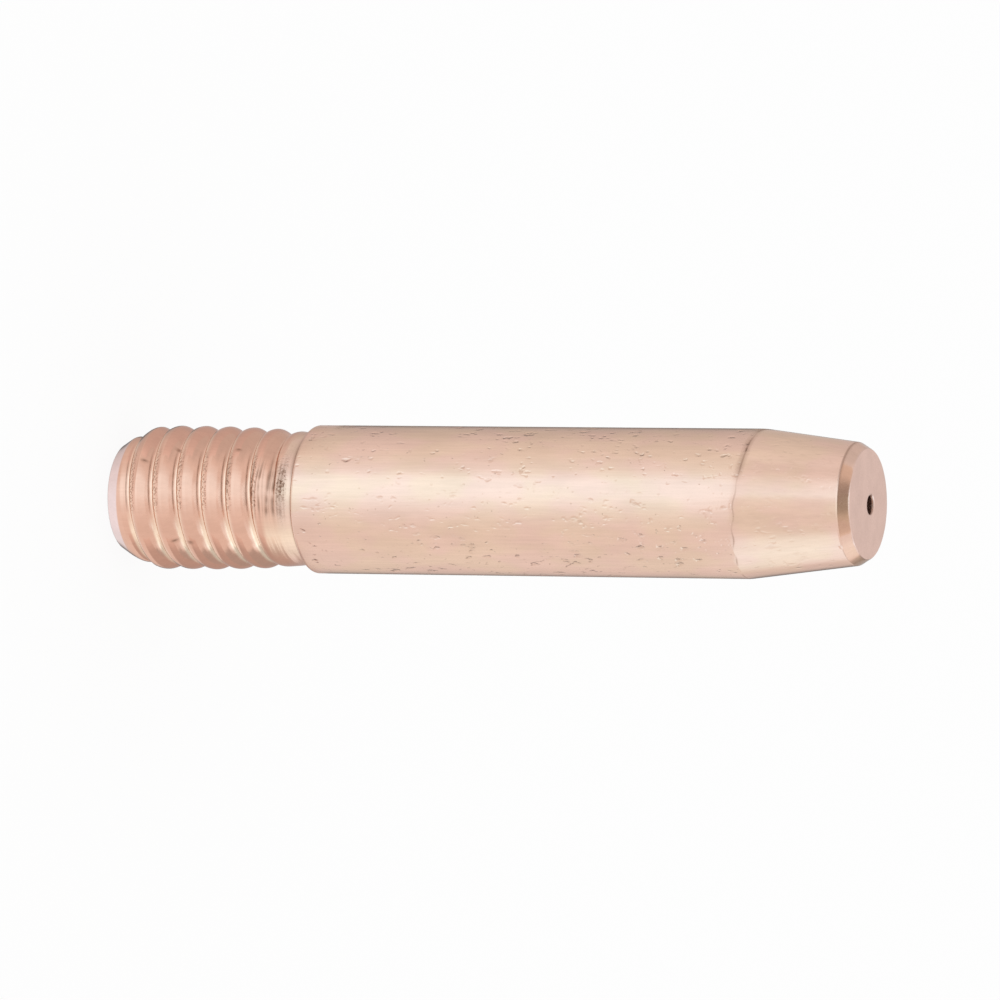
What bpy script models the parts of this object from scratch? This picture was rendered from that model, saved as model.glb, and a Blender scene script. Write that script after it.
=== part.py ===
"""Welding contact tip: one piece of copper, turned, drilled and threaded.

It stands on its threaded rear end. The origin is the centre of the rear face and +Z runs to the nose.
"""

import math

import bmesh
import bpy

MM = 0.001
INCH = 0.0254

# Turned shape, from the rear face up to the nose.
OVERALL_LENGTH = 42.4 * MM
BODY_DIAMETER = 7.94 * MM
THREAD_DIAMETER = 7.72 * MM
THREAD_TAIL_DIAMETER = 7.36 * MM
NECK_DIAMETER = 7.22 * MM
NECK_END_DIAMETER = 7.0 * MM
LEAD_DIAMETER = 6.62 * MM
REAR_FACE_DIAMETER = 5.7 * MM
THREAD_LENGTH = 9.6 * MM
REAR_CHAMFER_LENGTH = 0.73 * MM
LEAD_LENGTH = 1.4 * MM
TAIL_LENGTH = 4.1 * MM
TAIL_SLOPE_LENGTH = 0.35 * MM
NECK_CLEARANCE = 0.3 * MM
SHOULDER_SLOPE_LENGTH = 0.12 * MM
SHOULDER_EDGE_RADIUS = 0.22 * MM
CONE_LENGTH = 5.68 * MM
CONE_END_DIAMETER = 6.51 * MM
NOSE_CHAMFER_LENGTH = 0.52 * MM
NOSE_FACE_DIAMETER = 5.82 * MM

# Way for the wire, open from end to end.
WIRE_BORE_DIAMETER = 1.05 * MM
INLET_DIAMETER = 3.0 * MM
INLET_LENGTH = 1.7 * MM

# Thread groove: 5/16 inch, 18 turns to the inch, right hand, with lands that slope off to both sides.
PITCH = INCH / 18
GROOVE_DEPTH = 0.44 * MM
GROOVE_ROOT_WIDTH = 0.08 * MM
GROOVE_FLANK_ANGLE = math.radians(75)
LAND_EDGE_DEPTH = 0.19 * MM
LAND_EDGE_WIDTH = 0.29 * MM
GROOVE_STATION = -0.1 * MM
RUN_OUT_LENGTH = 0.5 * MM
RUN_OUT_TURNS = 0.5
CUT_CLEARANCE = 0.25 * MM

TURN_STEPS = 64
EDGE_STEPS = 4
# An edge is sharp where it turns by more than this many steps of the turned surface.
SHARP_STEPS = 1.15
COPPER_COLOUR = (0.93, 0.64, 0.48, 1.0)
COPPER_ROUGHNESS = 0.35


def clear_scene():
    for obj in list(bpy.data.objects):
        bpy.data.objects.remove(obj)


def collection_named(name, hidden=False):
    collection = bpy.data.collections.new(name)
    collection.hide_render = hidden
    bpy.context.scene.collection.children.link(collection)
    return collection


def copper():
    material = bpy.data.materials.new("copper")
    material.use_nodes = True
    shader = material.node_tree.nodes["Principled BSDF"]
    shader.inputs["Base Color"].default_value = COPPER_COLOUR
    shader.inputs["Metallic"].default_value = 1.0
    shader.inputs["Roughness"].default_value = COPPER_ROUGHNESS
    return material


def groove_half_width():
    """Half the width of the groove where it opens at the crest."""
    flank = (GROOVE_DEPTH - LAND_EDGE_DEPTH) * math.tan(GROOVE_FLANK_ANGLE / 2)
    return GROOVE_ROOT_WIDTH / 2 + flank + LAND_EDGE_WIDTH


def shoulder_station():
    """Height at which the neck ends and the body's edge begins."""
    return THREAD_LENGTH + RUN_OUT_LENGTH + groove_half_width() + NECK_CLEARANCE


def shoulder_arc():
    """Rounded rear edge of the body, from its outer side down to the slope into the neck."""
    centre_r = BODY_DIAMETER / 2 - SHOULDER_EDGE_RADIUS
    centre_z = shoulder_station() + SHOULDER_SLOPE_LENGTH + SHOULDER_EDGE_RADIUS
    points = []
    for step in range(EDGE_STEPS + 1):
        angle = math.pi / 2 * step / EDGE_STEPS
        radius = centre_r + SHOULDER_EDGE_RADIUS * math.cos(angle)
        points.append((radius, centre_z - SHOULDER_EDGE_RADIUS * math.sin(angle)))
    return points


def tip_profile():
    """(radius, height) down the outer side, across the rear face and back up through the wire bore."""
    cone_end = OVERALL_LENGTH - NOSE_CHAMFER_LENGTH
    outer = [
        (NOSE_FACE_DIAMETER / 2, OVERALL_LENGTH),
        (CONE_END_DIAMETER / 2, cone_end),
        (BODY_DIAMETER / 2, cone_end - CONE_LENGTH),
    ]
    thread = [
        (NECK_END_DIAMETER / 2, shoulder_station()),
        (NECK_DIAMETER / 2, THREAD_LENGTH),
        (THREAD_TAIL_DIAMETER / 2, THREAD_LENGTH - TAIL_SLOPE_LENGTH),
        (THREAD_DIAMETER / 2, THREAD_LENGTH - TAIL_SLOPE_LENGTH - TAIL_LENGTH),
        (THREAD_DIAMETER / 2, REAR_CHAMFER_LENGTH + LEAD_LENGTH),
        (LEAD_DIAMETER / 2, REAR_CHAMFER_LENGTH),
        (REAR_FACE_DIAMETER / 2, 0.0),
    ]
    bore = [
        (INLET_DIAMETER / 2, 0.0),
        (WIRE_BORE_DIAMETER / 2, INLET_LENGTH),
        (WIRE_BORE_DIAMETER / 2, OVERALL_LENGTH),
    ]
    return outer + shoulder_arc() + thread + bore


def groove_section():
    """(radius, height) round the groove's cross-section, with its walls carried past the crest."""
    crest = THREAD_DIAMETER / 2
    root = GROOVE_ROOT_WIDTH / 2
    opening = groove_half_width()
    edge = opening - LAND_EDGE_WIDTH
    return [
        (crest + CUT_CLEARANCE, opening),
        (crest + CUT_CLEARANCE, -opening),
        (crest, -opening),
        (crest - LAND_EDGE_DEPTH, -edge),
        (crest - GROOVE_DEPTH, -root),
        (crest - GROOVE_DEPTH, root),
        (crest - LAND_EDGE_DEPTH, edge),
        (crest, opening),
    ]


def turned(name, points, collection, turns=1.0, rise=0.0):
    """Closed outline at +X, turned about Z and raised by rise while it turns."""
    mesh = bpy.data.meshes.new(name)
    count = len(points)
    edges = [(i, (i + 1) % count) for i in range(count)]
    mesh.from_pydata([(radius, 0.0, height) for radius, height in points], edges, [])
    obj = bpy.data.objects.new(name, mesh)
    collection.objects.link(obj)
    screw = obj.modifiers.new("turning", "SCREW")
    screw.angle = math.tau * turns
    screw.screw_offset = rise
    screw.steps = round(TURN_STEPS * turns)
    screw.render_steps = screw.steps
    screw.use_merge_vertices = rise == 0.0
    screw.merge_threshold = 1e-6
    return obj


def evaluated_mesh(obj):
    """The object's mesh as its modifiers leave it."""
    bpy.context.view_layer.update()
    evaluated = obj.evaluated_get(bpy.context.evaluated_depsgraph_get())
    return bpy.data.meshes.new_from_object(evaluated)


def run_out(mesh, section_size, steps):
    """Lifts the end of the groove's cutter out of the metal, evenly over the last turns."""
    last = round(RUN_OUT_TURNS * TURN_STEPS)
    lift = GROOVE_DEPTH + CUT_CLEARANCE
    for index, vertex in enumerate(mesh.vertices):
        share = (index // section_size - (steps - last)) / last
        if share > 0.0:
            radius = math.hypot(vertex.co.x, vertex.co.y)
            factor = (radius + lift * share) / radius
            vertex.co.x *= factor
            vertex.co.y *= factor


def closed_ends(mesh):
    shape = bmesh.new()
    shape.from_mesh(mesh)
    bmesh.ops.holes_fill(shape, edges=shape.edges, sides=0)
    bmesh.ops.recalc_face_normals(shape, faces=shape.faces)
    shape.to_mesh(mesh)
    shape.free()


def groove_cutter(collection):
    """Helical bar that cuts the thread, from a turn below the rear face up to the run-out."""
    start = GROOVE_STATION - PITCH
    end = THREAD_LENGTH + RUN_OUT_LENGTH
    steps = round((end - start) / PITCH * TURN_STEPS)
    turns = steps / TURN_STEPS
    section = groove_section()
    helix = turned("groove_helix", section, collection, turns, PITCH * turns)
    mesh = evaluated_mesh(helix)
    bpy.data.objects.remove(helix)
    run_out(mesh, len(section), steps)
    closed_ends(mesh)
    cutter = bpy.data.objects.new("thread_groove", mesh)
    collection.objects.link(cutter)
    # Half a step of turn keeps the cutter's sections between the edges of the turned surface.
    half_step = math.pi / TURN_STEPS
    cutter.rotation_euler.z = half_step - math.pi / 2
    cutter.location.z = start + PITCH * half_step / math.tau
    cutter.hide_render = True
    cutter.display_type = "WIRE"
    return cutter


def contact_tip(collection, cutters):
    tip = turned("contact_tip", tip_profile(), collection)
    tip.data.materials.append(copper())
    cut = tip.modifiers.new("thread", "BOOLEAN")
    cut.operation = "DIFFERENCE"
    cut.solver = "EXACT"
    cut.object = groove_cutter(cutters)
    threaded = evaluated_mesh(tip)
    tip.modifiers.clear()
    tip.data = threaded
    threaded.shade_smooth()
    threaded.set_sharp_from_angle(angle=SHARP_STEPS * math.tau / TURN_STEPS)
    return tip


def main():
    clear_scene()
    tip_parts = collection_named("welding_contact_tip")
    cutters = collection_named("cutters", hidden=True)
    contact_tip(tip_parts, cutters)


main()
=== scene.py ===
import math

import bpy
import numpy as np
from mathutils import Matrix, Vector


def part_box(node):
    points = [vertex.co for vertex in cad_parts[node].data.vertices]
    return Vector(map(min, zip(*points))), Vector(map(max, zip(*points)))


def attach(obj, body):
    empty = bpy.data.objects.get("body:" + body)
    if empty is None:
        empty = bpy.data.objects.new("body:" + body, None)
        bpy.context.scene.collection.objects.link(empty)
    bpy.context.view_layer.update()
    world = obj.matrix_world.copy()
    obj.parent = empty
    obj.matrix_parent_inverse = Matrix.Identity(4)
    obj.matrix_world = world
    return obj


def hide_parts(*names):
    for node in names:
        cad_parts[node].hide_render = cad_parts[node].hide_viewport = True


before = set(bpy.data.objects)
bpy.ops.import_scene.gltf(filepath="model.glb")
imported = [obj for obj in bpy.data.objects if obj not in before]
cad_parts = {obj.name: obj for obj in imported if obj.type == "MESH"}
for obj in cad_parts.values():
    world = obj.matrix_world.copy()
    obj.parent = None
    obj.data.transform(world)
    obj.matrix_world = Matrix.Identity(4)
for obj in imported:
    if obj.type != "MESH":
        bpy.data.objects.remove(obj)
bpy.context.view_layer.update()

LOW, HIGH = (Vector(corner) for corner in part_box("contact_tip"))
MM = 0.001

# Sizes of the tip in millimetres, as the solid has them. Heights run from the rear face up to the nose.
LENGTH = (HIGH.z - LOW.z) / MM
BODY_RADIUS = (HIGH.x - LOW.x) / 2 / MM
REAR_FACE_RADIUS = 2.85
REAR_CHAMFER_TOP = 0.73
LEAD = ((0.0, REAR_FACE_RADIUS), (REAR_CHAMFER_TOP, 3.31), (2.13, 3.9))
CREST = ((0.0, 3.857), (5.25, 3.857), (7.5, 3.79), (8.7, 3.74), (9.4, 3.66), (10.2, 3.6), (10.92, 3.5))
SHOULDER = 10.92
SHOULDER_SLOPE = 0.12
SHOULDER_EDGE_RADIUS = 0.22
CONE_START = LENGTH - 6.2
CONE_END = LENGTH - 0.56
CONE_END_RADIUS = 3.255
NOSE_FACE_RADIUS = 2.91
NOSE_EDGE_RADIUS = 0.015
BORE_RADIUS = 0.49
INLET_RADIUS = 1.5
INLET_LENGTH = 1.7

# The real tip's slight errors in millimetres: the thread and the bore's end lie off the axis.
THREAD_LIFT = 0.03
LIFT_END = (SHOULDER - 0.5, SHOULDER)
BORE_OFFSET = 0.4
BORE_DRIFT_LENGTH = 6.0
BORE_DRIFT_RADII = (0.6, 2.6)

# Thread groove in millimetres: round lands whose long side falls gently into a root near the next land.
PITCH = 25.4 / 18
GROOVE_STATION = -0.04
FALL_CURVE = 0.851
FALL_SLOPE = 0.87
FALL_END = -0.06
ROOT_PLACE = 0.1
ROOT_FLAT = 0.02
RISE_START = 0.245
RISE_CURVE = 0.613
GROOVE_ROUNDING = 0.03
TABLE_STEP = 0.002
RUN_OUT_START = 9.42
RUN_OUT_END = 9.98
LEAD_IN = (REAR_CHAMFER_TOP - 0.2, REAR_CHAMFER_TOP + 0.1)
LEAD_DEPTH_SHARE = 0.5

# Seeded waves over the surface, as (how many, most round the tip, most along it).
SEED = 7
GROOVE_WAVES = (14, 44, 11.0)
LAND_WAVES = (8, 7, 1.5)
WANDER_WAVES = (6, 23, 0.0)
CREASE_WAVES = (8, 31, 0.0)

# Unevenness in millimetres, apart from the groove's, which is a share of its depth.
GROOVE_UNEVEN = 0.008
LAND_UNEVEN = 0.003
WANDER_UNEVEN = 0.025
NICK_DEPTH = 0.015
RING_DEPTH = 0.05
TORN_DEPTH = 0.006
CREASE_DEPTH = 0.012

# Where the surface's marks, painted shade and painted highlights change. A band is (rise start, rise end,
# fall start, fall end), a spot is (centre, half width), and a start or end is (from, to). Places are
# heights along the tip or offsets from the groove's middle, in millimetres, and angles round the tip are
# front angles, in radians.
FRONT_BAND = (-0.3, -0.05, 0.45, 0.85)
LOWER_BAND = (-2.0, -1.4, -0.7, -0.18)
TOP_START = (0.15, 0.5)
FRONT_SPOT = (0.1, 0.35)
# EDGE_SPOT places a painted shade line before the root; LINE_SPOT, STRIP_BAND and WALL_BAND place painted
# highlights.
EDGE_SPOT = (-0.075, 0.028)
LINE_SPOT = (0.05, 0.032)
STRIP_BAND = (-0.17, -0.05, 0.24, 0.4)
WALL_BAND = (0.1, 0.16, 0.3, 0.5)
TORN_BAND = (0.2, 0.28, 0.5, 0.62)
TONES_START = (0.9, 1.2)
THREADED_END = (9.9, 10.4)
PALE_END = (REAR_CHAMFER_TOP - 0.06, REAR_CHAMFER_TOP + 0.02)
CRESCENT_SPOTS = ((0.3, 0.13), (7.25, 0.5), (0.32, 0.3))
PITTED_BAND = (9.95, 10.2, 10.55, 10.75)
PITTED_SPOT = (0.2, 0.42)
# The neck's spot of painted highlight on its lower side.
NECK_HIGHLIGHT_START = (9.15, 9.5)
NECK_HIGHLIGHT_SPOT = (-0.66, 0.3)

# Nicks in the thread's lands, as (height, front angle), and their half width along and round the tip.
LAND_NICKS = ((4.02, 0.8), (4.0, -0.67), (4.95, -0.68), (2.3, 0.55), (7.6, 0.75))
NICK_LENGTH = 0.17
NICK_WIDTH = 0.022

# Rings where the thread tool ran out, as (height, half width, strength). They show on the camera's side.
RUN_OUT_RINGS = (
    (8.66, 0.08, 1.0), (8.93, 0.05, 0.7), (9.16, 0.06, 0.75), (9.33, 0.04, 0.4), (9.58, 0.09, 0.95),
    (9.76, 0.04, 0.5), (9.93, 0.09, 1.0), (10.16, 0.06, 0.6), (10.36, 0.09, 0.7), (10.56, 0.04, 0.35),
)
RING_BAND = (-0.42, -0.12, 0.35, 0.75)
RING_ELSEWHERE = 0.08
RING_BOW = 0.12
RING_LEVEL = 0.9
RING_ROUGH = 0.2
RING_LIMITS = (0.3, 1.2)
# Ripples are (size, waves round the tip, phase for each millimetre of height).
RING_RIPPLES = ((0.03, 3, 9), (0.02, 7, 5))
RING_FADE = (0.18, 11, 30)

# Shares of tarnish, of painted shade (edge line, creases, corner, holes) and of painted highlight.
EDGE_SHADE = 0.8
RING_SHADE = 0.82
CRESCENT_SHADE = 0.5
PITTED_SHADE = 0.22
NICK_SHADE = 0.9
CREASE_SHADE = 0.75
NOSE_CREASE_SHADE = 0.6
CORNER_SHADE = 0.9
CORNER_FRONT_SHADE = 0.5
HOLE_SHADE = 0.6
LINE_HIGHLIGHT = 0.36
LINE_FRONT_HIGHLIGHT = 0.16
WALL_HIGHLIGHT = 0.4
NECK_HIGHLIGHT_SHARE = 0.75

# Creases, whose dark lines are painted shade: half widths in millimetres, and what they gain on the top
# side.
CREASE_WIDTH = 0.04
NOSE_CREASE_WIDTH = 0.05
CORNER_WIDTH = 0.08
CORNER_PLACE = SHOULDER + 0.04
CREASE_LEVEL = 0.35
CREASE_TOP_GAIN = 0.5
CREASE_BREAKS = 0.35

# The nose was turned slightly off the body's axis, so its crease wanders along the body.
NOSE_SHIFT = 0.38
NOSE_SHIFT_MEAN = 0.07
NOSE_SHIFT_ANGLE = math.radians(8)
CREASE_REACH = 1.4

# Where handling left marks on the drawn surface.
DRAWN_START = (SHOULDER, SHOULDER + 0.3)
HANDLED_START = (SHOULDER + 0.1, SHOULDER + 0.6)
SPARED_SPOT = (0.12, 0.22)
SPARED_SHARE = 0.7
FAR_START = (1.3, 1.8)
FAR_SHARE = 0.6
CONE_HANDLED = 0.3

# Rows of the mesh in millimetres, as stretches of (start, end, spacing) or as single offsets.
COLUMNS = 216
THREAD_ROW_STEP = 0.03
THREAD_ROWS = (REAR_CHAMFER_TOP + 0.1, RUN_OUT_END + 0.5)
CREASE_ROWS = (-0.06, -0.025, 0.0, 0.03, 0.07)
CONE_END_ROWS = (-0.1, -0.02, 0.02)
LOWER_STRETCHES = (
    (0.03, REAR_CHAMFER_TOP, 0.08),
    (REAR_CHAMFER_TOP, SHOULDER - 0.25, THREAD_ROW_STEP),
    (SHOULDER - 0.25, SHOULDER + 0.5, 0.04),
    (SHOULDER + 0.5, CONE_START - 1.2, 1.0),
    (CONE_START - 1.2, CONE_START + CREASE_ROWS[0], 0.22),
)
CONE_STRETCH = (CONE_START + 0.25, CONE_END + CONE_END_ROWS[0], 0.42)
NOSE_STRETCH = (CONE_END + 0.06, LENGTH - NOSE_EDGE_RADIUS, 0.07)
SHOULDER_EDGE_STEPS = 7
NOSE_EDGE_STEPS = 4
NOSE_EDGE_START = math.radians(35)
# Rings inside the ends, as (radius, height) at the rear and (radius, depth below the face) at the nose.
INLET_RINGS = (
    (BORE_RADIUS, INLET_LENGTH + 2.0), (BORE_RADIUS, INLET_LENGTH), (0.8, INLET_LENGTH * 0.7),
    (1.15, INLET_LENGTH * 0.35), (INLET_RADIUS - 0.02, 0.03), (INLET_RADIUS + 0.02, 0.0),
)
REAR_FACE_RADII = np.linspace(1.7, REAR_FACE_RADIUS - 0.02, 5)
NOSE_FACE_RADII = (2.5, 1.9, 1.3, 0.95, 0.8, 0.7)
NOSE_BORE_RINGS = (
    (BORE_RADIUS + 0.06, 0.01), (BORE_RADIUS + 0.01, 0.05), (BORE_RADIUS, 0.15), (BORE_RADIUS, 0.6),
    (BORE_RADIUS, 2.0), (BORE_RADIUS, 10.0),
)
NOSE_SHIFT_RADII = (1.0, NOSE_FACE_RADIUS - 0.2)
HOLE_EDGE = 0.05
SHARP_ANGLE = math.radians(55)

# The photograph's view.
PICTURE_SIZE = 1000
FOCAL_PIXELS = 10860
CAMERA_DISTANCE = 0.578
CAMERA_ELEVATION = math.radians(21.83)
AXIS_TILT = 0.0104
PICTURE_SCALE = FOCAL_PIXELS / CAMERA_DISTANCE
AXIS_MIDDLE_PIXEL = (493.5, 501.1)
SENSOR_WIDTH = 36.0

# Colours of the copper, and the tint of what it mirrors at a low angle.
COPPER_PINK = (0.775, 0.52, 0.42, 1.0)
COPPER_TAN = (0.765, 0.535, 0.405, 1.0)
THREAD_COPPER = (0.735, 0.43, 0.32, 1.0)
FACE_COPPER = (0.76, 0.53, 0.455, 1.0)
PALE_COPPER = (0.82, 0.63, 0.6, 1.0)
# Paler copper for the painted highlights along the groove and on the neck.
PAINTED_HIGHLIGHT_COPPER = (1.0, 0.78, 0.595, 1.0)
# Tarnish, also the colour of the painted shade in creases, corners, holes and along the groove's edge.
TARNISH_AND_SHADE = (0.25, 0.135, 0.09, 1.0)
SPECULAR_TINT = (0.8, 0.76, 0.74, 1.0)
# Coppers laid over the body's in turn, each where its share on the mesh says.
SURFACE_COPPERS = (
    ("threaded", THREAD_COPPER),
    ("faced", FACE_COPPER),
    ("pale", PALE_COPPER),
    ("painted_highlight", PAINTED_HIGHLIGHT_COPPER),
)

# Noise of the copper, as (scale for each millimetre, detail, roughness, turn, shift).
HUE_NOISE = ((0.55, 0.55, 0.3), 2.0, 0.5)
BLOTCH_NOISE = ((0.9, 0.9, 0.35), 3.0, 0.55)
STREAK_NOISE = ((7.0, 7.0, 0.3), 3.0, 0.6)
HAIRLINE_NOISE = ((24.0, 24.0, 0.6), 2.0, 0.5)
RING_NOISE = ((0.5, 0.5, 18.0), 2.0, 0.5)
PIT_NOISE = ((9.0, 9.0, 7.0), 2.0, 0.5)
CROWD_NOISE = ((0.5, 0.5, 0.25), 1.0, 0.5)
LONG_MARK_NOISE = ((2.5, 2.5, 1.4), 1.5, 0.5, (0.1, -0.08, 0.0), 3.0)
SHORT_MARK_NOISE = ((2.6, 2.6, 1.9), 1.5, 0.5, (-0.6, 0.5, 0.4), 8.0)
DOT_NOISE = ((5.0, 5.0, 4.0), 1.5, 0.55, (0.0, 0.0, 0.0), 15.0)

# Ranges that turn noise into shares and tones, as (low, high) or (low, high, result low, result high).
HUE_RANGE = (0.4, 0.6)
BLOTCH_TONE = (0.25, 0.75, 0.95, 1.03)
STREAK_TONE = (0.2, 0.8, 0.97, 1.03)
CROWD_RANGE = (0.38, 0.62, -0.06, 0.015)
LONG_MARK_RANGE = (0.6, 0.82)
SHORT_MARK_RANGE = (0.62, 0.84)
DOT_RANGE = (0.72, 0.77)
PIT_RANGE = (0.5, 0.62)
DOT_SHARE = 0.4
MARK_DIRT = 0.2
PIT_DIRT = 0.42

# Relief of the copper, in units of RELIEF_STEP millimetres.
RELIEF_STEP = 0.004
STREAK_RELIEF = 0.9
HAIRLINE_RELIEF = 0.3
RING_RELIEF = 0.25
BLOTCH_RELIEF = 2.0
MARK_RELIEF = 16.0
PIT_RELIEF = 4.0

# Roughness of the copper, and what drawing, blotches, tarnish and painted shade add to it.
SMOOTHEST = 0.13
DRAWN_ROUGHNESS = 0.05
BLOTCH_ROUGHNESS = (0.2, 0.8, 0.0, 0.05)
DIRT_ROUGHNESS = 0.3

# Light of the tent round the tip, as (azimuth, level) from the camera's side towards the picture's top.
FLOOR_RING = ((-180, 1.12), (180, 1.12))
LOW_RING = (
    (-180, 0.9), (-150, 1.15), (-130, 1.1), (-100, 1.05), (-20, 1.08), (5, 1.2), (20, 1.25), (40, 1.05),
    (60, 0.85), (150, 0.8), (180, 0.9),
)
BODY_RING = (
    (-180, 0.1), (-164, 0.3), (-152, 0.85), (-140, 1.0), (-119, 1.06), (-105, 1.06), (-64, 1.0),
    (-46, 1.0), (-30, 1.07), (-16, 1.19), (-7, 1.32), (3, 1.46), (11, 1.56), (33, 1.55), (41, 1.33),
    (50, 1.17), (64, 1.08), (80, 0.99), (95, 0.93), (122, 0.82), (135, 0.78), (150, 0.72), (163, 0.3),
    (180, 0.1),
)
MIDDLE_RING = (
    (-180, 0.95), (-172, 0.95), (-166, 0.6), (-96, 0.6), (-90, 0.99), (-46, 1.0), (-30, 1.04),
    (-16, 1.12), (-7, 1.22), (3, 1.36), (11, 1.47), (33, 1.47), (41, 1.3), (57, 1.02), (75, 0.85),
    (95, 0.78), (150, 0.78), (172, 0.95), (180, 0.95),
)
UPPER_RING = (
    (-180, 0.95), (-172, 0.95), (-160, 1.5), (-100, 1.7), (-86, 1.0), (-46, 1.0), (-30, 1.04),
    (-16, 1.12), (-7, 1.22), (3, 1.36), (11, 1.45), (33, 1.45), (41, 1.3), (57, 1.08), (75, 0.95),
    (95, 0.88), (150, 0.85), (172, 0.95), (180, 0.95),
)
TOP_RING = (
    (-180, 1.2), (-120, 1.5), (-60, 1.3), (-30, 1.25), (0, 1.45), (30, 1.45), (60, 1.1), (180, 1.2),
)
# The rings of the tent, each at its elevation.
TENT = (
    (-90, FLOOR_RING), (-46, LOW_RING), (-38, BODY_RING), (-14, BODY_RING), (-8, MIDDLE_RING),
    (28, MIDDLE_RING), (36, UPPER_RING), (58, UPPER_RING), (66, TOP_RING), (90, TOP_RING),
)
TENT_RADIUS = 300.0
TENT_AZIMUTH_STEP = 3.0
TENT_ELEVATION_STEP = 2.0
# Light above the level of 1 is cool daylight: how much of it red, green and blue get.
DAYLIGHT = (0.5, 0.98, 1.25)

# Cards of lit cloth near the tip, as (name, radius, low, high, levels at azimuths, tint) in millimetres.
CARD_COLUMNS = 73
CARDS = (
    ("nose_card", 25.0, 29.0, 40.0, (
        (-150, 0.4), (-140, 0.85), (-130, 0.95), (-116, 1.15), (-102, 1.34), (-89, 1.4), (-78, 1.45),
        (-68, 1.36), (-58, 1.29), (-48, 1.16), (-39, 1.02), (-22, 0.95), (-5, 1.01), (4, 1.13),
        (12, 1.36), (20, 1.32), (29, 1.22), (38, 1.08), (47, 0.98), (56, 0.95), (66, 1.03), (88, 0.96),
        (103, 0.86), (114, 0.85), (140, 0.84), (160, 0.81),
    ), (1.0, 1.0, 1.0)),
    ("chamfer_card", 25.0, 50.0, 70.0, (
        (-66, 0.88), (-46, 0.73), (-29, 0.69), (-13, 0.53), (-4, 0.42), (30, 0.42), (39, 0.54),
        (50, 0.72), (60, 0.84), (80, 0.84),
    ), (1.0, 0.89, 0.78)),
    ("nose_low_card", 25.0, 42.0, 58.0, (
        (-165, 0.45), (-132, 0.45), (-121, 1.1), (-108, 1.2), (-86, 1.25), (-76, 1.2),
    ), (1.0, 0.95, 0.9)),
    ("thread_card", 12.0, -1.0, 7.2, (
        (-180, 0.68), (-90, 0.68), (-79, 0.72), (-67, 0.88), (-58, 0.97),
    ), (1.0, 0.92, 0.9)),
    ("thread_top_card", 12.0, -1.0, 8.0, (
        (60, 1.05), (76, 0.86), (95, 0.8), (130, 0.76), (175, 0.7),
    ), (1.0, 0.94, 0.94)),
)
TABLE_SIZE = 1.2
TABLE_WHITE = (0.9, 0.9, 0.9, 1.0)
TABLE_GLOW_SHARE = 0.88
WHITE = (1.0, 1.0, 1.0, 1.0)


def front_angle(turn):
    """Angle round the tip from the side that faces the camera, positive towards the picture's top."""
    return np.angle(np.exp(1j * (-math.pi / 2 - turn)))


def spaced(start, end, step):
    """Heights from start up to, not including, end."""
    return list(np.linspace(start, end, max(1, round((end - start) / step)), endpoint=False))


def waves(turn, height, rng, count, most_around, most_along):
    """Smooth seeded noise of unit size over the surface, without a seam."""
    total = np.zeros(np.broadcast(turn, height).shape)
    for _ in range(count):
        around = rng.integers(0, most_around + 1)
        along = rng.uniform(-most_along, most_along)
        total += np.cos(around * turn + along * height + rng.uniform(0, math.tau))
    return total / math.sqrt(count / 2)


def ripple(turn, place, size, count, phase):
    return size * np.sin(count * turn + phase * place)


def bump(value, centre, width):
    return np.exp(-(((value - centre) / width) ** 2))


def step_up(value, start, end):
    share = np.clip((value - start) / (end - start), 0, 1)
    return share * share * (3 - 2 * share)


def band(value, rise_start, rise_end, fall_start, fall_end):
    return step_up(value, rise_start, rise_end) * (1 - step_up(value, fall_start, fall_end))


def looked_up(table, place):
    """The value at each place in a table of (place, value) pairs."""
    places, values = zip(*table)
    return np.interp(place, places, values)


def body_profile():
    """(height, radius) from the shoulder, whose edge is an arc, over the cone to the nose."""
    corners = [(SHOULDER, CREST[-1][1])]
    arc_middle = SHOULDER + SHOULDER_SLOPE + SHOULDER_EDGE_RADIUS
    for angle in np.linspace(0, math.pi / 2, SHOULDER_EDGE_STEPS):
        height = arc_middle - SHOULDER_EDGE_RADIUS * math.cos(angle)
        corners.append((height, BODY_RADIUS - SHOULDER_EDGE_RADIUS * (1 - math.sin(angle))))
    corners += [(CONE_START, BODY_RADIUS), (CONE_END, CONE_END_RADIUS), (LENGTH, NOSE_FACE_RADIUS)]
    return corners


def groove_table():
    """Depth below the crest at offsets from the middle between two lands, positive towards the nose."""
    half = PITCH / 2
    offset = np.arange(-half, half, TABLE_STEP)
    steep_start = FALL_SLOPE / FALL_CURVE / 2 - half
    rising = RISE_CURVE * (half - offset) ** 2
    rounded = FALL_CURVE * (np.clip(offset, -half, steep_start) + half) ** 2
    flank = FALL_SLOPE * np.clip(offset - steep_start, 0, FALL_END - steep_start)
    run = ROOT_PLACE - FALL_END
    along = np.clip(offset - FALL_END, 0, run)
    falling = rounded + flank + FALL_SLOPE * (along - along**2 / run / 2)
    edge = RISE_CURVE * (half - RISE_START) ** 2
    corners = [ROOT_PLACE, ROOT_PLACE + ROOT_FLAT, RISE_START]
    wall = np.interp(offset, corners, [falling[-1], falling[-1], edge])
    depth = np.select([offset < ROOT_PLACE, offset < RISE_START], [falling, wall], rising)
    kernel = np.hanning(round(GROOVE_ROUNDING / TABLE_STEP) * 2 + 1)
    softened = np.convolve(np.tile(depth, 3), kernel / kernel.sum(), mode="same")
    return offset, softened[len(depth):2 * len(depth)]


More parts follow.
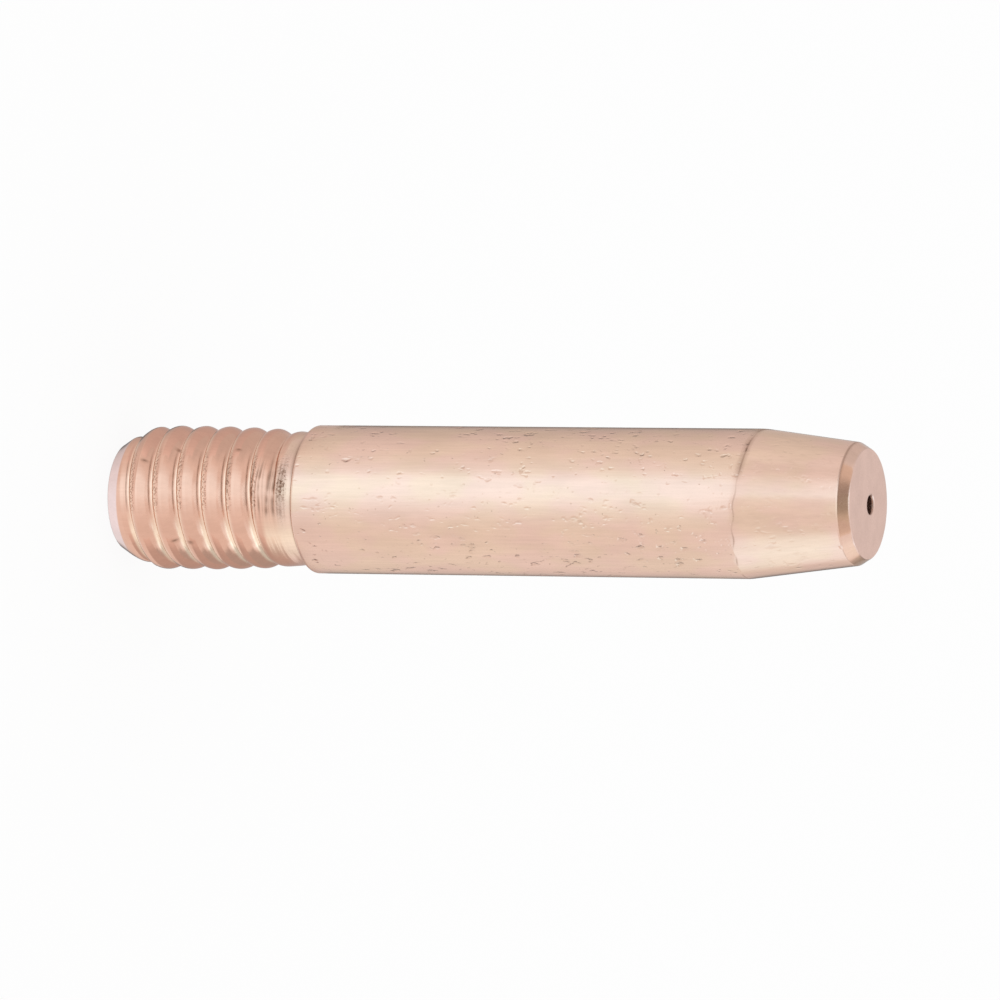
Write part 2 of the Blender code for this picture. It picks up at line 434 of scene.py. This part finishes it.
def groove(turn, height):
    """(depth below the crest, offset from the groove's middle, share that is cut) at each point."""
    rise = GROOVE_STATION + PITCH * (turn + math.pi / 2) / math.tau
    lap = np.round((height - rise) / PITCH)
    middle = rise + lap * PITCH
    offset, depth = groove_table()
    present = 1 - step_up(middle, RUN_OUT_START, RUN_OUT_END)
    past_lead = step_up(height, REAR_CHAMFER_TOP, LEAD[-1][0])
    lead = step_up(height, *LEAD_IN) * (LEAD_DEPTH_SHARE + (1 - LEAD_DEPTH_SHARE) * past_lead)
    return np.interp(height - middle, offset, depth) * present * lead, height - middle, present


def snapped(turn, height):
    """Heights of the grid with the rows nearest to the groove's corners moved onto them."""
    for corner in (FALL_END, ROOT_PLACE, RISE_START, PITCH / 2, -PITCH / 2):
        past = groove(turn, height)[1] - corner
        height = np.where(abs(past) < THREAD_ROW_STEP / 2, height - past, height)
    return height


def run_out_marks(turn, height, rough):
    """Share of the fine rings that the thread tool left where it ran out."""
    facing = front_angle(turn)
    window = RING_ELSEWHERE + band(facing, *RING_BAND)
    bowed = height - RING_BOW * facing**2
    share = np.zeros(np.broadcast(turn, height).shape)
    for middle, width, cut in RUN_OUT_RINGS:
        wander = sum(ripple(turn, middle, *parts) for parts in RING_RIPPLES)
        ring = cut * bump(bowed + wander, middle, width)
        share = np.maximum(share, ring * np.clip(RING_LEVEL + ripple(turn, middle, *RING_FADE), 0, 1))
    return share * window * np.clip(RING_LEVEL + RING_ROUGH * rough, *RING_LIMITS)


def nose_wander(turn, rng):
    """How far along the axis the crease between body and cone is shifted at each turn."""
    wander = NOSE_SHIFT_MEAN + NOSE_SHIFT * np.sin(front_angle(turn) + NOSE_SHIFT_ANGLE)
    return wander + WANDER_UNEVEN * waves(turn, 0.0, rng, *WANDER_WAVES)


def outer_heights():
    rows = []
    for stretch in LOWER_STRETCHES:
        rows += spaced(*stretch)
    rows += [CONE_START + offset for offset in CREASE_ROWS]
    rows += spaced(*CONE_STRETCH)
    rows += [CONE_END + offset for offset in CONE_END_ROWS]
    return rows + spaced(*NOSE_STRETCH)


def rear_rings():
    """(radius, height) from inside the bore, down the inlet and out across the rear face."""
    return list(INLET_RINGS) + [(radius, 0.0) for radius in REAR_FACE_RADII]


def nose_rings():
    """(radius, height) round the nose's edge, in across its face and down into the bore."""
    edge = []
    for angle in np.linspace(NOSE_EDGE_START, math.pi / 2, NOSE_EDGE_STEPS):
        radius = NOSE_FACE_RADIUS - NOSE_EDGE_RADIUS * (1 - math.cos(angle))
        edge.append((radius, LENGTH - NOSE_EDGE_RADIUS * (1 - math.sin(angle))))
    face = [(radius, LENGTH) for radius in NOSE_FACE_RADII]
    return edge + face + [(radius, LENGTH - depth) for radius, depth in NOSE_BORE_RINGS]


def groove_tones(facing, offset, present):
    """(painted shade line, painted highlight, torn metal) of the groove, each a share; the line and the
    highlight are painted where the light makes them.
    """
    front = band(facing, *FRONT_BAND) * present
    below = band(facing, *LOWER_BAND)
    # Painted shade: a dark line before the root, on the front.
    edge = bump(offset, *EDGE_SPOT) * front
    # Painted highlights: a bright line at the root, strips on the lower side, and the wall.
    line = bump(offset, *LINE_SPOT) * (LINE_HIGHLIGHT + LINE_FRONT_HIGHLIGHT * front)
    strip = band(offset, *STRIP_BAND)
    wall = WALL_HIGHLIGHT * band(offset, *WALL_BAND)
    painted_highlight = np.maximum(line + below * (strip - line), wall) * present
    return edge, painted_highlight, band(offset, *TORN_BAND) * front


def threaded_radius(turn, height, rng):
    """(radius, tarnish and painted shade, painted highlight share, torn share) of the threaded end up to
    the shoulder.
    """
    depth, offset, present = groove(turn, height)
    rough = waves(turn, height, rng, *GROOVE_WAVES)
    lands = waves(turn, height, rng, *LAND_WAVES)
    facing = front_angle(turn)
    edge, painted_highlight, torn = groove_tones(facing, offset, present * step_up(height, *TONES_START))
    marks = run_out_marks(turn, height, rough)
    across, along, around = CRESCENT_SPOTS
    crescent = bump(offset, *across) * bump(height, *along) * bump(facing, *around)
    pitted = band(height, *PITTED_BAND) * bump(facing, *PITTED_SPOT)
    # Painted highlight on the lower side of the neck.
    neck_highlight = step_up(height, *NECK_HIGHLIGHT_START) * bump(facing, *NECK_HIGHLIGHT_SPOT)
    nicks = sum(
        bump(height, at, NICK_LENGTH) * bump(facing, side, NICK_WIDTH) for at, side in LAND_NICKS
    )
    radius = np.minimum(looked_up(CREST, height), looked_up(LEAD, height)) - NICK_DEPTH * nicks
    radius = radius - depth * (1 + GROOVE_UNEVEN * rough) + LAND_UNEVEN * lands
    radius = radius - RING_DEPTH * marks - TORN_DEPTH * torn
    tarnish_and_shade = EDGE_SHADE * edge + RING_SHADE * marks + CRESCENT_SHADE * crescent
    tarnish_and_shade = tarnish_and_shade + PITTED_SHADE * pitted + NICK_SHADE * nicks
    return radius, tarnish_and_shade, np.maximum(painted_highlight, NECK_HIGHLIGHT_SHARE * neck_highlight), np.maximum(torn, pitted)


def cone_slope():
    return (BODY_RADIUS - CONE_END_RADIUS) / (CONE_END - CONE_START)


def creases(turn, height, rng):
    """(depth share, painted shade, painted shade of the rear corner) of the creases on the body and the
    cone.
    """
    top_side = step_up(front_angle(turn), *TOP_START)
    front = bump(front_angle(turn), *FRONT_SPOT)
    breaks = CREASE_BREAKS * waves(turn, 0.0, rng, *CREASE_WAVES)
    # Painted shade along the creases, darker on the top side.
    crease = bump(height, CONE_START, CREASE_WIDTH * (1 + top_side))
    crease = crease * np.clip(CREASE_LEVEL + CREASE_TOP_GAIN * top_side + breaks, 0, 1)
    nose_crease = NOSE_CREASE_SHADE * top_side * bump(height, CONE_END, NOSE_CREASE_WIDTH)
    # Painted shade in the shoulder's corner, lighter at the front.
    corner = bump(height, CORNER_PLACE, CORNER_WIDTH * (1 + top_side))
    corner = corner * (CORNER_SHADE - CORNER_FRONT_SHADE * front)
    return crease, CREASE_SHADE * crease + nose_crease, corner


def outer_surface(turn, wander, rng):
    """Radius, height and the shares of tarnish and painted shade, thread, painted highlight and torn
    metal, one row for each height.
    """
    height = np.repeat(np.array(outer_heights())[:, None], COLUMNS, axis=1)
    in_thread = (height > THREAD_ROWS[0]) & (height < THREAD_ROWS[1])
    height = np.where(in_thread, snapped(turn, height), height)
    near = np.where(
        height < CONE_START,
        step_up(height, CONE_START - CREASE_REACH, CONE_START),
        1 - step_up(height, CONE_START, CONE_END),
    )
    plain = looked_up(body_profile(), height)
    plain = plain + np.where(height > CONE_START, cone_slope() * wander * (1 - near), 0.0)
    crease, crease_shade, corner = creases(turn, height, rng)
    radius, tarnish_and_shade, painted_highlight, torn = threaded_radius(turn, height, rng)
    on_thread = height < SHOULDER
    radius = np.where(on_thread, radius, plain - CREASE_DEPTH * crease)
    tarnish_and_shade = np.where(on_thread, tarnish_and_shade, crease_shade) + corner
    threaded = 1 - step_up(height, *THREADED_END)
    radius = np.minimum(radius, BODY_RADIUS)
    return radius, height + near * wander, tarnish_and_shade, threaded, painted_highlight * on_thread, torn * on_thread


def ring_table(rings):
    """Radius and height of each ring, repeated round the tip."""
    table = np.array(rings)
    return (np.repeat(table[:, column, None], COLUMNS, axis=1) for column in (0, 1))


def ring_faces(rows):
    """Quads of a closed band of rings, whose last ring joins the first."""
    row, column = np.meshgrid(np.arange(rows), np.arange(COLUMNS), indexing="ij")
    next_row = (row + 1) % rows
    next_column = (column + 1) % COLUMNS
    corners = [row * COLUMNS + column, row * COLUMNS + next_column]
    corners += [next_row * COLUMNS + next_column, next_row * COLUMNS + column]
    return np.stack(corners, axis=-1).reshape(-1, 4)


def tip_points(turn, radii, heights):
    """Places of all rings: the thread is cut slightly off the axis, and the bore leaves it too."""
    lift = THREAD_LIFT * (1 - step_up(heights, *LIFT_END))
    near_nose = step_up(heights, LENGTH - BORE_DRIFT_LENGTH, LENGTH)
    near_nose = near_nose * (1 - step_up(radii, *BORE_DRIFT_RADII))
    across = radii * np.cos(turn) - lift
    away = radii * np.sin(turn) + BORE_OFFSET * near_nose
    middle = np.array([(LOW.x + HIGH.x) / 2, (LOW.y + HIGH.y) / 2, LOW.z])
    return np.stack([across, away, heights], axis=-1).reshape(-1, 3) * MM + middle


def body_shares(turn, height, wander):
    """(drawn share, handled share) of body and cone. The row on the crease is handled, not drawn."""
    facing = front_angle(turn)
    crease = CONE_START + wander
    drawn = step_up(height, *DRAWN_START) * (height < crease)
    handled = step_up(height, *HANDLED_START) * (1 - SPARED_SHARE * bump(facing, *SPARED_SPOT))
    handled = handled * (1 - FAR_SHARE * step_up(abs(facing), *FAR_START))
    return drawn, handled * np.where(height > crease, CONE_HANDLED, 1.0) * (height < CONE_END)


def tip_mesh():
    rng = np.random.default_rng(SEED)
    turn = np.linspace(0, math.tau, COLUMNS, endpoint=False) + math.pi / 2
    turn = np.angle(np.exp(1j * turn))[None, :]
    wander = nose_wander(turn, rng)
    radius, height, tarnish_and_shade, threaded, painted_highlight, torn = outer_surface(turn, wander, rng)
    rear_radius, rear_height = ring_table(rear_rings())
    nose_radius, nose_height = ring_table(nose_rings())
    edge_share = step_up(nose_radius, *NOSE_SHIFT_RADII)
    edge_radius = nose_radius + cone_slope() * wander * edge_share
    radii = np.concatenate([rear_radius, radius, edge_radius])
    heights = np.concatenate([rear_height, height, nose_height])
    mesh = bpy.data.meshes.new("copper_tip")
    mesh.from_pydata(tip_points(turn, radii, heights).tolist(), [], ring_faces(len(radii)).tolist())
    # Painted shade darkens the inlet and the bore.
    in_inlet = HOLE_SHADE * (rear_radius < INLET_RADIUS)
    in_bore = HOLE_SHADE * (nose_radius < BORE_RADIUS + HOLE_EDGE)
    drawn, handled = body_shares(turn, height, wander)
    shares = {
        "tarnish_and_shade": (in_inlet, tarnish_and_shade, in_bore),
        "threaded": (0.0, threaded, 0.0),
        "painted_highlight": (0.0, painted_highlight, 0.0),
        "torn": (0.0, torn, 0.0),
        "drawn": (0.0, drawn, 0.0),
        "handled": (0.0, handled, 0.0),
        "faced": (1.0, 0.0, 1.0),
        "pale": (1.0, 1 - step_up(height, *PALE_END), 0.0),
    }
    parts = (rear_radius, radius, nose_radius)
    for name, values in shares.items():
        layer = mesh.attributes.new(name, "FLOAT", "POINT")
        rows = [np.broadcast_to(value, part.shape) for value, part in zip(values, parts)]
        layer.data.foreach_set("value", np.concatenate(rows).astype(np.float32).ravel())
    mesh.shade_smooth()
    mesh.set_sharp_from_angle(angle=SHARP_ANGLE)
    return mesh


class Nodes:
    """Short helpers to wire one material's nodes."""

    def __init__(self, tree):
        tree.nodes.clear()
        self.tree = tree

    def add(self, kind, settings=None, **inputs):
        node = self.tree.nodes.new(kind)
        for name, value in (settings or {}).items():
            setattr(node, name, value)
        for name, value in inputs.items():
            self.put(node.inputs[name.replace("_", " ")], value)
        return node

    def put(self, socket, value):
        if isinstance(value, bpy.types.NodeSocket):
            self.tree.links.new(value, socket)
        else:
            socket.default_value = value

    def math(self, operation, first, second=0.0, clamp=False):
        node = self.add("ShaderNodeMath", {"operation": operation, "use_clamp": clamp})
        self.put(node.inputs[0], first)
        self.put(node.inputs[1], second)
        return node.outputs[0]

    def mapped(self, value, low, high, out_low=0.0, out_high=1.0):
        node = self.add("ShaderNodeMapRange", {"interpolation_type": "SMOOTHSTEP"})
        for socket, number in zip(node.inputs, (value, low, high, out_low, out_high)):
            self.put(socket, number)
        return node.outputs[0]

    def mix(self, factor, first, second, blend="MIX"):
        """Mix of two colours, which go into the node's seventh and eighth inputs."""
        node = self.add("ShaderNodeMix", {"data_type": "RGBA", "blend_type": blend})
        self.put(node.inputs[0], factor)
        self.put(node.inputs[6], first)
        self.put(node.inputs[7], second)
        return node.outputs[2]

    def attribute(self, name):
        return self.add("ShaderNodeAttribute", {"attribute_name": name}).outputs["Fac"]

    def place(self, scale, turn, shift):
        """Object coordinates in millimetres, turned, stretched and shifted."""
        where = self.add("ShaderNodeTexCoord").outputs["Object"]
        node = self.add("ShaderNodeMapping", {"vector_type": "POINT"})
        self.put(node.inputs["Vector"], where)
        self.put(node.inputs["Location"], (shift, shift, shift))
        self.put(node.inputs["Rotation"], turn)
        self.put(node.inputs["Scale"], tuple(value / MM for value in scale))
        return node.outputs[0]

    def noise(self, scale, detail, roughness, turn=(0.0, 0.0, 0.0), shift=0.0):
        node = self.add("ShaderNodeTexNoise", Vector=self.place(scale, turn, shift), Scale=1.0)
        self.put(node.inputs["Detail"], detail)
        self.put(node.inputs["Roughness"], roughness)
        return node.outputs["Fac"]

    def finish(self, shader):
        output = self.add("ShaderNodeOutputMaterial")
        self.tree.links.new(shader.outputs[0], output.inputs["Surface"])


def new_material(name):
    material = bpy.data.materials.new(name)
    material.use_nodes = True
    return material, Nodes(material.node_tree)


def copper_colour(n, dirt_and_shade, blotches, streaks):
    colour = n.mix(n.mapped(n.noise(*HUE_NOISE), *HUE_RANGE), COPPER_PINK, COPPER_TAN)
    # The surface coppers include the painted highlight.
    for name, metal in SURFACE_COPPERS:
        colour = n.mix(n.attribute(name), colour, metal)
    tone = n.math("MULTIPLY", n.mapped(blotches, *BLOTCH_TONE), n.mapped(streaks, *STREAK_TONE))
    grey = n.add("ShaderNodeCombineColor", Red=tone, Green=tone, Blue=tone).outputs[0]
    colour = n.mix(1.0, colour, grey, "MULTIPLY")
    # Tarnish and painted shade go in last.
    return n.mix(dirt_and_shade, colour, TARNISH_AND_SHADE)


def handling_marks(n):
    """Short dents and scratches of handling, crowded in some places, mostly along the rod."""
    crowd = n.mapped(n.noise(*CROWD_NOISE), *CROWD_RANGE)
    long_marks = n.mapped(n.math("ADD", n.noise(*LONG_MARK_NOISE), crowd), *LONG_MARK_RANGE)
    short_marks = n.mapped(n.math("ADD", n.noise(*SHORT_MARK_NOISE), crowd), *SHORT_MARK_RANGE)
    dots = n.math("MULTIPLY", n.mapped(n.noise(*DOT_NOISE), *DOT_RANGE), DOT_SHARE)
    marks = n.math("MAXIMUM", n.math("MAXIMUM", long_marks, short_marks), dots)
    return n.math("MULTIPLY", marks, n.attribute("handled"))


def copper_relief(n, drawn, blotches, streaks, marks, pits):
    """Height of the surface: lines along the drawn body, turning rings elsewhere, dents and pits."""
    streak_lines = n.math("MULTIPLY", streaks, STREAK_RELIEF)
    hairlines = n.math("MULTIPLY", n.noise(*HAIRLINE_NOISE), HAIRLINE_RELIEF)
    height = n.math("MULTIPLY", n.math("ADD", streak_lines, hairlines), drawn)
    rings = n.math("MULTIPLY", n.noise(*RING_NOISE), RING_RELIEF)
    height = n.math("ADD", height, n.math("MULTIPLY", rings, n.math("SUBTRACT", 1.0, drawn)))
    height = n.math("ADD", height, n.math("MULTIPLY", blotches, BLOTCH_RELIEF))
    height = n.math("SUBTRACT", height, n.math("MULTIPLY", marks, MARK_RELIEF))
    return n.math("SUBTRACT", height, n.math("MULTIPLY", pits, PIT_RELIEF))


def copper_material():
    material, n = new_material("turned_copper")
    drawn = n.attribute("drawn")
    blotches = n.noise(*BLOTCH_NOISE)
    streaks = n.noise(*STREAK_NOISE)
    marks = handling_marks(n)
    pits = n.math("MULTIPLY", n.mapped(n.noise(*PIT_NOISE), *PIT_RANGE), n.attribute("torn"))
    # Tarnish of the marks and pits, with the painted shade that the mesh carries.
    dirt_and_shade = n.math("ADD", n.attribute("tarnish_and_shade"), n.math("MULTIPLY", marks, MARK_DIRT))
    dirt_and_shade = n.math("ADD", dirt_and_shade, n.math("MULTIPLY", pits, PIT_DIRT), clamp=True)
    height = copper_relief(n, drawn, blotches, streaks, marks, pits)
    surface = n.add("ShaderNodeBump", Height=height, Strength=1.0, Distance=RELIEF_STEP * MM)
    shader = n.add("ShaderNodeBsdfPrincipled", Metallic=1.0, Normal=surface.outputs[0])
    n.put(shader.inputs["Base Color"], copper_colour(n, dirt_and_shade, blotches, streaks))
    n.put(shader.inputs["Specular Tint"], SPECULAR_TINT)
    rough = n.math("ADD", SMOOTHEST, n.math("MULTIPLY", drawn, DRAWN_ROUGHNESS))
    rough = n.math("ADD", rough, n.mapped(blotches, *BLOTCH_ROUGHNESS))
    rough = n.math("ADD", rough, n.math("MULTIPLY", dirt_and_shade, DIRT_ROUGHNESS))
    n.put(shader.inputs["Roughness"], rough)
    n.finish(shader)
    return material


def seen_directly(n):
    """1 for rays that come straight from the camera, a mirror-like surface or a clear one."""
    path = n.add("ShaderNodeLightPath").outputs
    either = n.math("MAXIMUM", path["Is Camera Ray"], path["Is Glossy Ray"])
    return n.math("MAXIMUM", either, path["Is Transmission Ray"])


def floor():
    """White translucent light table: it shows the tip's soft shadow and lets light from below through."""
    bpy.ops.mesh.primitive_plane_add(size=TABLE_SIZE, location=(0.0, 0.0, LOW.z))
    table = bpy.context.object
    table.name = "light_table"
    material, n = new_material("white_acrylic")
    lit = n.add("ShaderNodeBsdfDiffuse", Color=TABLE_WHITE)
    glow = n.add("ShaderNodeEmission", Color=WHITE, Strength=1.0)
    mixed = n.add("ShaderNodeMixShader")
    n.put(mixed.inputs[0], n.math("MULTIPLY", seen_directly(n), TABLE_GLOW_SHARE))
    n.put(mixed.inputs[1], lit.outputs[0])
    n.put(mixed.inputs[2], glow.outputs[0])
    n.finish(mixed)
    table.data.materials.append(material)
    table.visible_glossy = False
    table.visible_shadow = False


def tent_colour(level):
    """Colour of the tent's cloth at each level: neutral up to 1, cool daylight above it."""
    over = np.maximum(0.0, level - 1.0)
    base = np.minimum(level, 1.0)
    channels = [base + share * over for share in DAYLIGHT]
    return np.stack([*channels, np.ones_like(level)], axis=-1)


def lit_cloth(name, azimuths, radii, heights, colours, material):
    """Bent sheet round the tip's axis that only metal mirrors, a column of points at each azimuth."""
    across = -np.sin(np.radians(azimuths))[:, None] * radii
    away = -np.cos(np.radians(azimuths))[:, None] * radii
    up = np.broadcast_to(heights, across.shape)
    points = np.stack([across, away, up], axis=-1).reshape(-1, 3) * MM
    points = points + np.array([0.0, 0.0, LOW.z])
    rows = across.shape[1]
    faces = []
    for column in range(len(azimuths) - 1):
        for row in range(rows - 1):
            first = column * rows + row
            faces.append((first, first + rows, first + rows + 1, first + 1))
    mesh = bpy.data.meshes.new(name)
    mesh.from_pydata(points.tolist(), [], faces)
    layer = mesh.attributes.new("light", "FLOAT_COLOR", "POINT")
    layer.data.foreach_set("color", np.ascontiguousarray(colours, np.float32).ravel())
    mesh.materials.append(material)
    obj = bpy.data.objects.new(name, mesh)
    bpy.context.scene.collection.objects.link(obj)
    obj.visible_camera = False
    obj.visible_shadow = False
    obj.visible_diffuse = False


def tent(material):
    """Ball of lit cloth round the whole set."""
    azimuths = np.arange(-180.0, 180.0 + TENT_AZIMUTH_STEP / 2, TENT_AZIMUTH_STEP)
    elevations = np.arange(-90.0, 90.0 + TENT_ELEVATION_STEP / 2, TENT_ELEVATION_STEP)
    rings = np.stack([looked_up(ring, azimuths) for _, ring in TENT])
    steps = [elevation for elevation, _ in TENT]
    levels = np.array([np.interp(elevations, steps, ring) for ring in rings.T])
    radii = TENT_RADIUS * np.cos(np.radians(elevations))
    heights = LENGTH / 2 + TENT_RADIUS * np.sin(np.radians(elevations))
    lit_cloth("light_tent", azimuths, radii, heights, tent_colour(levels), material)


def card(name, radius, low, high, stops, tint, material):
    """Bent card near the tip, in millimetres, whose level follows the stops."""
    azimuths = np.linspace(stops[0][0], stops[-1][0], CARD_COLUMNS)
    levels = np.repeat(looked_up(stops, azimuths)[:, None], 2, axis=1)
    colours = tent_colour(levels) * np.array([*tint, 1.0])
    lit_cloth(name, azimuths, np.array([radius, radius]), np.array([low, high]), colours, material)


def studio():
    world = bpy.data.worlds.new("white_room")
    world.use_nodes = True
    background = world.node_tree.nodes["Background"]
    background.inputs["Color"].default_value = WHITE
    background.inputs["Strength"].default_value = 1.0
    bpy.context.scene.world = world
    cloth, n = new_material("lit_cloth")
    light = n.add("ShaderNodeAttribute", {"attribute_name": "light"}).outputs["Color"]
    n.finish(n.add("ShaderNodeEmission", Color=light, Strength=1.0))
    cloth.cycles.emission_sampling = "NONE"
    tent(cloth)
    for name, radius, low, high, stops, tint in CARDS:
        card(name, radius, low, high, stops, tint, cloth)


def camera():
    """The photograph's view: the tip's axis runs across the picture, nose to the right and nearer."""
    away = Vector((0.0, -math.cos(CAMERA_ELEVATION), math.sin(CAMERA_ELEVATION)))
    axis = Vector((0.0, math.sin(CAMERA_ELEVATION), math.cos(CAMERA_ELEVATION)))
    upward = Vector((-1.0, 0.0, 0.0))
    right = axis * math.cos(AXIS_TILT) + upward * math.sin(AXIS_TILT)
    up = upward * math.cos(AXIS_TILT) - axis * math.sin(AXIS_TILT)
    middle = Vector((0.0, 0.0, (LOW.z + HIGH.z) / 2))
    aside = (PICTURE_SIZE / 2 - AXIS_MIDDLE_PIXEL[0]) / PICTURE_SCALE
    above = (AXIS_MIDDLE_PIXEL[1] - PICTURE_SIZE / 2) / PICTURE_SCALE
    data = bpy.data.cameras.new("photo_view")
    data.sensor_fit = "HORIZONTAL"
    data.sensor_width = SENSOR_WIDTH
    data.lens = SENSOR_WIDTH * FOCAL_PIXELS / PICTURE_SIZE
    data.clip_start = 0.01
    obj = bpy.data.objects.new("photo_view", data)
    place = middle + away * CAMERA_DISTANCE + right * aside + up * above
    turn = Matrix((right, up, away)).transposed().to_4x4()
    obj.matrix_world = Matrix.Translation(place) @ turn
    bpy.context.scene.collection.objects.link(obj)
    bpy.context.scene.camera = obj


def tip():
    obj = bpy.data.objects.new("copper_tip", tip_mesh())
    bpy.context.scene.collection.objects.link(obj)
    obj.data.materials.append(copper_material())
    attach(obj, "root")
    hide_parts("contact_tip")


def main():
    bpy.context.scene.view_settings.view_transform = "Standard"
    camera()
    tip()
    floor()
    studio()


main()
